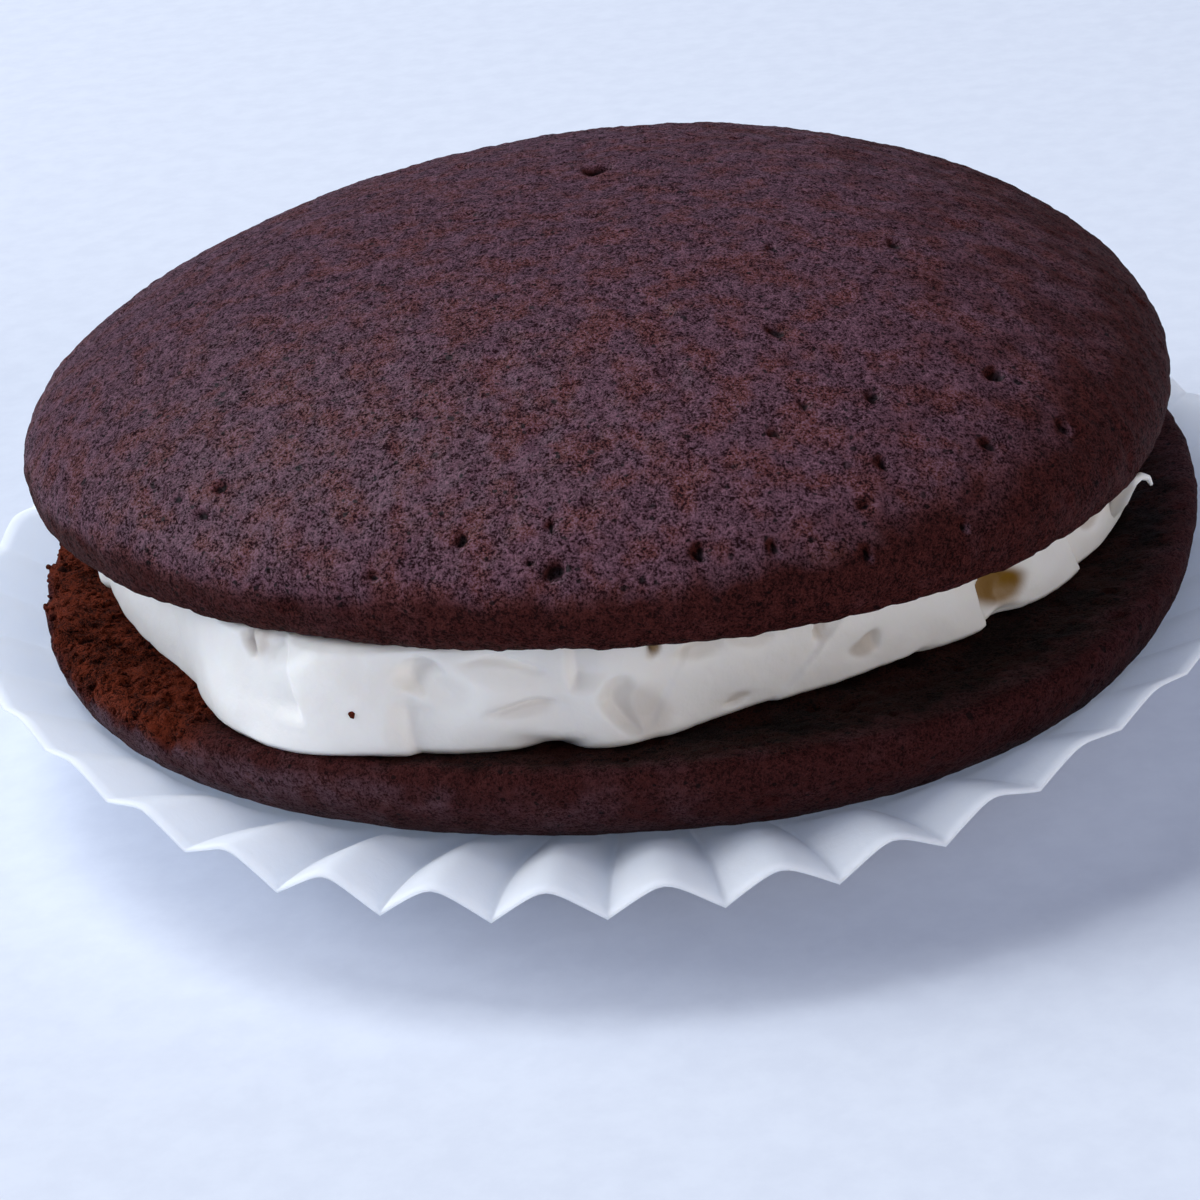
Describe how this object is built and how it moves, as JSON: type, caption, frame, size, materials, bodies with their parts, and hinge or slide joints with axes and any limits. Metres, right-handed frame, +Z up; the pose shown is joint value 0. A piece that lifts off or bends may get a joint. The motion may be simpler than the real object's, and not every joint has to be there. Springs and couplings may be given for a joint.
{
  "type": "whoopie pie",
  "caption": "Chocolate whoopie pie: domed cakes with their flat sides together, a thick layer of spread cream between them, resting in an opened-out fluted paper case.",
  "frame": {"origin": "middle of the paper case's footprint, on the table", "axes": "+Z up, -Y towards the viewer of the picture, +X to the viewer's right"},
  "size_m": [0.114, 0.114, 0.0437],
  "materials": {
    "top_crust": "matte porous chocolate cake crust",
    "cream": "soft satin whipped cream",
    "bottom_crust": "matte porous chocolate cake crust, torn open at one place on the rim",
    "paper": "matte white baking paper"
  },
  "bodies": {
    "root": {"top_cake": "top_crust", "cream_filling": "cream", "bottom_cake": "bottom_crust", "paper_case": "paper"}
  },
  "joints": []
}
